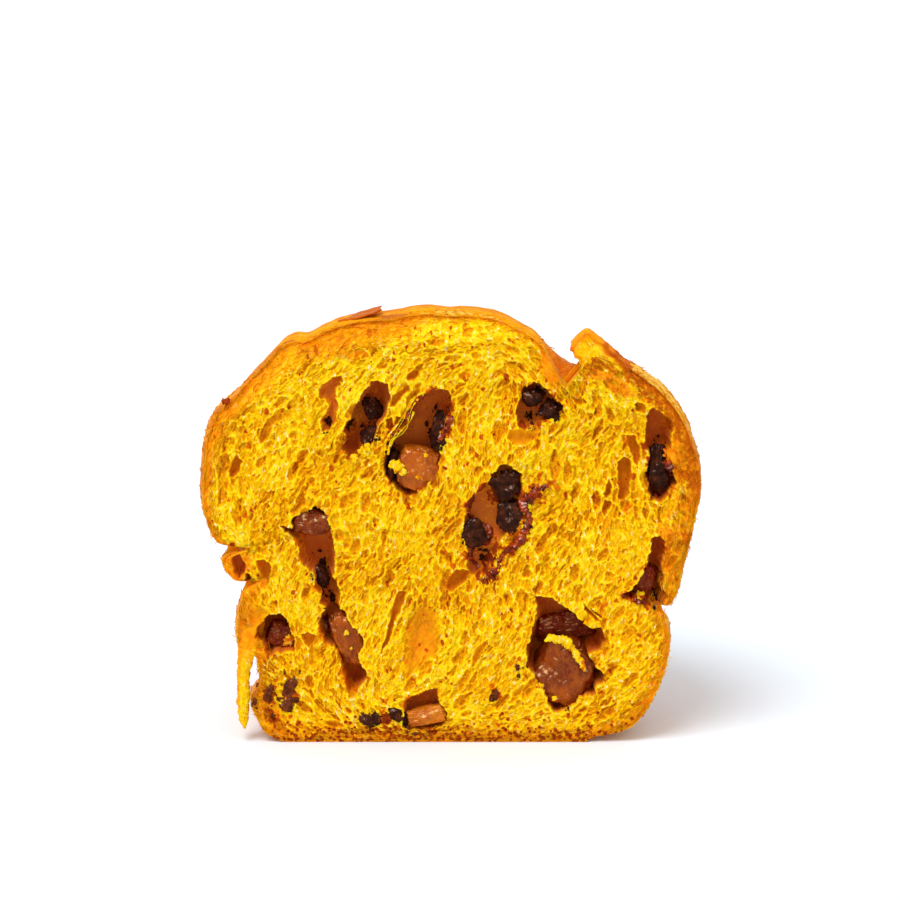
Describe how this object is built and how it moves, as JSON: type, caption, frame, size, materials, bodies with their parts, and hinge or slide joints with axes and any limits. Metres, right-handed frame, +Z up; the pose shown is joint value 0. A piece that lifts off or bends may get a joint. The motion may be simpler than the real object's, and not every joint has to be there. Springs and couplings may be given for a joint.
{
  "type": "panettone half",
  "caption": "Half of a tall domed panettone cut upright, standing on its base, its open yellow crumb studded with candied fruit and chocolate.",
  "frame": {"origin": "under the middle of the half's bounding box, on the surface that its base stands on", "axes": "+Z up; the cut face looks along -Y; +X points to the right as the cut face is looked at"},
  "size_m": [0.1564, 0.0926, 0.1366],
  "materials": {
    "bread": "open yellow crumb with a thin browned crust",
    "candied_fruit": "glossy, translucent amber",
    "chocolate": "dark, rough, half melted"
  },
  "bodies": {
    "root": {"bread": "bread", "fruit_upper_middle": "candied_fruit", "fruit_left_channel": "candied_fruit", "fruit_channel_foot": "candied_fruit", "fruit_left_arch": "candied_fruit", "fruit_foot": "candied_fruit", "fruit_lower_right": "candied_fruit", "fruit_lower_right_back": "candied_fruit", "fruit_right_waist": "candied_fruit", "chocolate_upper_left_top": "chocolate", "chocolate_upper_left_low": "chocolate", "chocolate_upper_middle": "chocolate", "chocolate_upper_middle_left": "chocolate", "chocolate_upper_right_top": "chocolate", "chocolate_upper_right": "chocolate", "chocolate_heart_top": "chocolate", "chocolate_heart_middle": "chocolate", "chocolate_heart_low": "chocolate", "chocolate_right_edge": "chocolate", "chocolate_left_channel": "chocolate", "chocolate_foot_left": "chocolate", "chocolate_foot_left_upper": "chocolate", "chocolate_foot_left_lower": "chocolate", "chocolate_foot_middle": "chocolate", "chocolate_foot_middle_right": "chocolate"}
  },
  "joints": []
}
